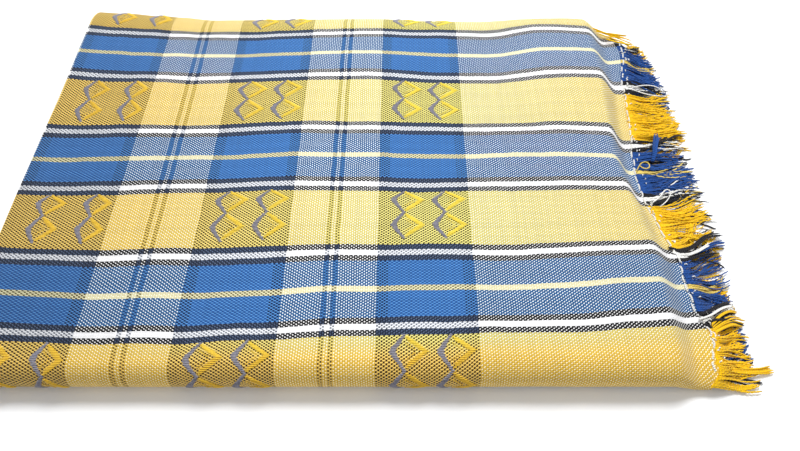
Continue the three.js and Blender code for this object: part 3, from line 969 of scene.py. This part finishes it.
def stitch_line(y):
    """x of the stitch at y."""
    ys = np.array([p[1] for p in STITCH][::-1], float)
    xs = np.array([p[0] for p in STITCH][::-1], float)
    return float(np.interp(y, ys, xs))


def yarn_root(s):
    """Where a warp end leaves the cloth at s, on the outer face."""
    end = open_end(s)[0]
    y = section_at(s, PAIR)[0]
    piece = piece_at(s)
    x = min(end - 1, stitch_line(y) + 1.5) if piece["zone"] in ("top", "droop") else end - 2
    return outer_points([x], [s], [SHEET / 2 + 0.3])[0]


# A place across the stripes for each colour
COLOUR_AT = {"yellow": 0.0, "black": 33.5, "white": 39.2, "blue": 60.6, "cream": 76.2}
LOOSE = [  # yarns out of line: colour, radius, number of yarns and points
    ("yellow", 0.7, 1, [(268, 204, 24), (284, 203, 19), (300, 200, 15), (314, 195, 12)]),
    ("yellow", 0.7, 2, [(271, 200, 23), (288, 197, 18), (301, 195, 15), (309, 190, 12)]),
    ("yellow", 0.7, 2, [(264, 208, 25), (279, 204, 21), (293, 203, 17), (306, 202, 14)]),
    ("yellow", 0.7, 1, [(278, 198, 21), (291, 200, 18), (305, 202, 15), (314, 201, 12)]),
    ("yellow", 0.7, 2, [(275, 203, 22), (288, 205, 19), (299, 205, 17), (308, 207, 14)]),
    ("yellow", 0.7, 2, [(280, 194, 20), (292, 192, 17), (303, 191, 15), (315, 193, 11)]),
    ("white", 0.65, 1, [(299, 121, 10), (314, 126, 9), (329, 128, 6), (342, 121, 2)]),
    ("white", 0.65, 1, [(298, 118, 10), (314, 111, 9), (328, 111, 6), (340, 115, 2)]),
    ("black", 0.7, 2, [(302, 37, 8), (318, 39, 9), (332, 50, 7), (345, 54, 2)]),
    ("cream", 0.65, 1, [(284, 6, 8), (284, 0, 11), (290, -3, 12), (294, 3, 12), (291, 10, 11), (284, 8, 10),
                        (278, -4, 9)]),
    ("white", 0.65, 1, [(285, -44, 8), (296, -37, 10), (302, -27, 11), (309, -29, 10), (304, -40, 9),
                        (292, -49, 8)]),
    ("blue", 0.75, 9, [(318, -101, 7), (334, -93, 8), (347, -89, 4)]),
    ("white", 0.65, 4, [(289, -106, 15), (301, -109, 12), (317, -102, 10), (327, -95, 9), (338, -90, 6)]),
    ("black", 0.7, 5, [(287, -101, 15), (302, -103, 12), (316, -96, 10), (330, -83, 8), (348, -79, 4)]),
    ("black", 0.7, 4, [(291, -115, 14), (306, -111, 11), (320, -106, 9), (339, -102, 5)]),
    ("black", 0.7, 2, [(305, -114, 10), (319, -112, 9), (334, -114, 6), (340, -117, 3)]),
    ("yellow", 0.7, 5, [(304, -190, 13), (314, -184, 12), (327, -178, 9), (339, -177, 3)]),
    ("yellow", 0.7, 5, [(304, -186, 13), (316, -178, 13), (328, -172, 10), (341, -172, 4)]),
    ("yellow", 0.7, 4, [(305, -182, 14), (316, -172, 14), (327, -166, 11), (337, -165, 5)]),
    ("white", 0.65, 4, [(294, -177, 17), (306, -173, 17), (318, -165, 15), (332, -160, 10)]),
    ("black", 0.7, 4, [(296, -172, 17), (307, -168, 16), (318, -162, 14), (331, -157, 9)]),
    ("black", 0.7, 2, [(300, -180, 16), (312, -176, 15), (326, -175, 11), (341, -177, 4)]),
    ("white", 0.6, 1, [(299, -186, 14), (307, -189, 15), (304, -196, 15), (300, -203, 15),
                       (306, -209, 14)]),
    ("yellow", 0.75, 10, [(306, -222, 9), (327, -222, 6), (343, -221, 3), (352, -219, 1.5)]),
    ("black", 0.7, 2, [(303, -226, 4), (317, -228, 3), (328, -231, 2), (336, -231, 1)]),
    ("black", 0.7, 2, [(303, -223, 5), (318, -225, 4), (330, -228, 2), (342, -230, 1)]),
]
TUFT = [(299, 12, 8), (302, 20, 12), (304, 30, 13), (307, 38, 12), (310, 45, 10)]  # a blue lock folded over
TUFT_YARNS = 16
LOOSE_STEPS = 14
SHORT_ENDS = 70  # loose ends of weft by the stitch


def curve(points):
    """A path through points, in even steps."""
    points = np.array(points, float)
    at = np.arange(len(points))
    wanted = np.linspace(0, len(points) - 1, LOOSE_STEPS)
    return np.stack([np.interp(wanted, at, column) for column in points.T], axis=-1)


def softened(path):
    """The path with its corners rounded off."""
    for _ in range(2):
        path[1:-1] = (path[:-2] + 2 * path[1:-1] + path[2:]) / 4
    return path


def add_loose(tubes, local):
    """The yarns that lie across the others, and the weft's loose ends by the stitch."""
    taper = np.concatenate([[0.9], np.ones(LOOSE_STEPS - 3), [0.9, 0.5]])
    spread = np.linspace(0.7, 1.6, LOOSE_STEPS)[:, None]
    for n, (colour, radius, count, points) in enumerate(LOOSE + [("blue", 0.7, TUFT_YARNS, TUFT)]):
        for k in range(count):
            offset = np.zeros(3)
            if count > 1:
                offset = local.normal(0, 0.32 * count**0.5, 3) * np.array([1, 1, 0.4])
            path = softened(curve(points)) + offset * spread
            path[:, 2] = np.maximum(path[:, 2], radius)
            tubes.add(path, radius * taper, COLOUR_AT[colour], u_start=n * 31.0 + k * 17.0)
    for n in range(SHORT_ENDS):
        s = local.uniform(TOP_PIECE["start"], TOP_PIECE["start"] + TOP_PIECE["length"])
        root = yarn_root(s)
        start = root + np.array([local.uniform(0.5, 8.0), 0, 0.7])
        heading, length = local.uniform(-math.pi, math.pi), local.uniform(1.5, 4.0)
        reach = np.array([math.cos(heading), math.sin(heading), 0]) * length
        lift = np.array([0, 0, local.uniform(0.8, 2.2)])
        path = [start, start + reach * 0.5 + lift, start + reach]
        tubes.add(path, [0.5, 0.6, 0.4], COLOUR_AT["white"], u_start=n * 31.0)


def make_fringe(name, s_from, s_to, per_yarn, rest, puff, seed):
    """Warp ends past the hem, in loose locks, from s_from to s_to round the section."""
    local = np.random.default_rng(seed)
    tubes = Tubes(YARN_SIDES)
    count = int(abs(s_to - s_from) / WARP_PITCH * per_yarn)
    t = np.linspace(0, 1, YARN_STEPS)
    lock_end, lock = -1, None
    for k in range(count):
        s = s_from + (s_to - s_from) * (k + 0.5) / count
        root = yarn_root(s)
        v = stripe_at(s) - float(sway(root[0], root[1]))
        if k > lock_end:
            lock_end = k + int(local.integers(*LOCK_YARNS))
            lock = dict(lean=local.normal(0, LOCK_LEAN), bend=local.normal(0, LOCK_BEND),
                        reach=local.uniform(*LOCK_LENGTH), rise=local.uniform(0, 1),
                        phase=local.uniform(0, 6.28))
        middle_v, draw = group_at(v)
        gap = float(look_up(OPEN_Y, OPEN["tips"], root[1])) - root[0]
        length = gap * lock["reach"] * local.uniform(*YARN_LENGTH)
        lean = float(np.interp(v, LEAN_V, LEAN)) + lock["lean"] * (1 - draw)
        lean += local.normal(0, YARN_LEAN)
        bend = lock["bend"] * (1 - draw) + local.normal(0, YARN_BEND)
        if root[1] < FRONT_TURN:
            bend = FRONT_BEND * abs(bend)  # under the front roll they turn towards the back
        heading = lean * smooth(t * 2.5) + bend * t**2
        heading = heading + CURL * np.sin(lock["phase"] + 5 * t + local.normal(0, 0.5)) * t**0.5
        step = length / (YARN_STEPS - 1)
        x = root[0] + np.concatenate([[0], np.cumsum(step * np.cos(heading[1:]))])
        y = root[1] + np.concatenate([[0], np.cumsum(step * np.sin(heading[1:]))])
        y = y + (v - middle_v) * draw * smooth(t * 1.4)
        phase = local.uniform(0, 6.28)
        wave = 2 * math.pi * t * length / CRIMP + phase
        y = y + local.uniform(*CRIMP_SIDE) * np.sin(wave)
        radius = local.uniform(*YARN_RADIUS)
        z = root[2] + (rest + radius - root[2]) * smooth(t * 1.5)
        arch = np.sin(np.pi * np.minimum(1, t * 1.1)) ** 0.8
        z = z + puff * lock["rise"] * local.uniform(0.1, 1.0) * arch
        z = z + CRIMP_UP * np.cos(wave)
        points = np.stack([x, y, np.maximum(z, radius)], axis=-1)
        radii = radius * np.concatenate([np.ones(YARN_STEPS - 2), [0.9, 0.6]])
        tubes.add(points, radii, v, u_start=k * 53.0)
    if name == "fringe_top_yarns":
        add_loose(tubes, local)
    return tubes.build(name)


# Hem stitch

STITCH_LENGTH = (8.0, 11.0)
STITCH_GAP = (0.8, 1.8)
STITCH_FROM, STITCH_TO = -224.0, 192.0
THREAD_SIDES = 7
THREAD_RADII = [0.6] + [0.95] * 7 + [0.6]


def make_stitch():
    """A running stitch of white thread along the hem."""
    tubes = Tubes(THREAD_SIDES)
    ys = np.array([y for _, y in STITCH][::-1])
    xs = np.array([x for x, _ in STITCH][::-1])
    y, stitch = STITCH_FROM, 0
    while y < STITCH_TO:
        length = rng.uniform(*STITCH_LENGTH)
        t = np.linspace(0, 1, len(THREAD_RADII))
        yy = y + length * t
        xx = np.interp(yy, ys, xs) + rng.normal(0, 0.5) + rng.normal(0, 0.8) * np.sin(np.pi * t)
        ss = TOP_PIECE["start"] + (yy - FRONT_C)
        lift = SHEET / 2 - 0.7 + 1.5 * np.sin(np.pi * t) ** 0.5
        points = outer_points(xx, ss, lift)
        tubes.add(points, THREAD_RADII, stitch * 0.31)
        y += length + rng.uniform(*STITCH_GAP)
        stitch += 1
    return tubes.build("hem_stitch")


cloth = part_of(make_cloth(), woven_cloth(), "woven_cloth", "blanket")
grey = part_of(make_brocade("grey"), inlay("grey_inlay", GREY, GREY), "woven_cloth", "blanket")
gold = part_of(make_brocade("gold"), inlay("gold_inlay", GOLD, PAINTED_LIGHT_GOLD), "woven_cloth", "blanket")
stitch = part_of(make_stitch(), white_thread(), "woven_cloth", "blanket")
yarn = fringe_yarn()
top_from = FRONT_PIECE["start"] + FRONT_PIECE["length"] * 0.6
top_to = TOP_PIECE["start"] + TOP_PIECE["length"] + 8
bottom_to = FRONT_PIECE["start"] + FRONT_PIECE["length"] * 0.3
fringe_top = part_of(
    make_fringe("fringe_top_yarns", top_from, top_to, per_yarn=1.7, rest=2.2, puff=4.0, seed=5),
    yarn, "fringe_yarn", "fringe_top")
fringe_bottom = part_of(
    make_fringe("fringe_bottom_yarns", 4.0, bottom_to, per_yarn=1.3, rest=0.1, puff=1.2, seed=9),
    yarn, "fringe_yarn", "fringe_bottom")

# Floor, light and camera

FLOOR_HALF = 2500
FLOOR_Z = -0.2
FLOOR_GLOW = 0.06
WORLD_LIGHT = 0.32
FOCAL = 604 / 800  # focal length as a share of the picture's width
FILM = 36
CAMERA_PLACE = (0.0273, -0.4021, 0.5140)
CAMERA_DOWN = 56.8  # degrees below the horizon


def make_floor():
    """A pale, level floor under the blanket."""
    corners = [(-1, -1), (1, -1), (1, 1), (-1, 1)]
    verts = np.array([(x * FLOOR_HALF, y * FLOOR_HALF, FLOOR_Z) for x, y in corners], float)
    floor = new_object("floor", verts, [(0, 1, 2, 3)], [(0, 0), (5, 0), (5, 5), (0, 5)])
    net = Net("pale_floor")
    vector = net.uv()[0]
    tint = net.mix(net.noise(vector, 6.0, 3.0), srgb(247, 249, 252), srgb(251, 252, 254))
    net.put(net.shader.inputs["Emission Color"], tint)
    net.shader.inputs["Emission Strength"].default_value = FLOOR_GLOW
    floor.data.materials.append(net.finish(tint, 0.9, 0.0))


def area_light(name, place, target, size, power):
    light = bpy.data.lights.new(name, "AREA")
    light.shape = "DISK"
    light.size = size
    light.energy = power
    obj = bpy.data.objects.new(name, light)
    obj.location = place
    obj.rotation_euler = (Vector(target) - Vector(place)).to_track_quat("-Z", "Y").to_euler()
    bpy.context.scene.collection.objects.link(obj)


make_floor()
area_light("key", (0.05, 0.8, 1.75), (0.05, 0.0, 0), 0.9, 43)
area_light("fill", (0.4, -0.5, 1.6), (0, 0, 0), 1.2, 3.5)

world = bpy.data.worlds.new("soft_studio")
world.use_nodes = True
background = world.node_tree.nodes["Background"]
background.inputs[0].default_value = (1.0, 1.0, 1.0, 1.0)
background.inputs[1].default_value = WORLD_LIGHT
bpy.context.scene.world = world

camera_data = bpy.data.cameras.new("camera")
camera_data.sensor_width = FILM
camera_data.lens = FOCAL * FILM
camera = bpy.data.objects.new("camera", camera_data)
camera.location = CAMERA_PLACE
camera.rotation_euler = (math.radians(90 - CAMERA_DOWN), 0, 0)
bpy.context.scene.collection.objects.link(camera)
bpy.context.scene.camera = camera
bpy.context.scene.view_settings.view_transform = "Standard"
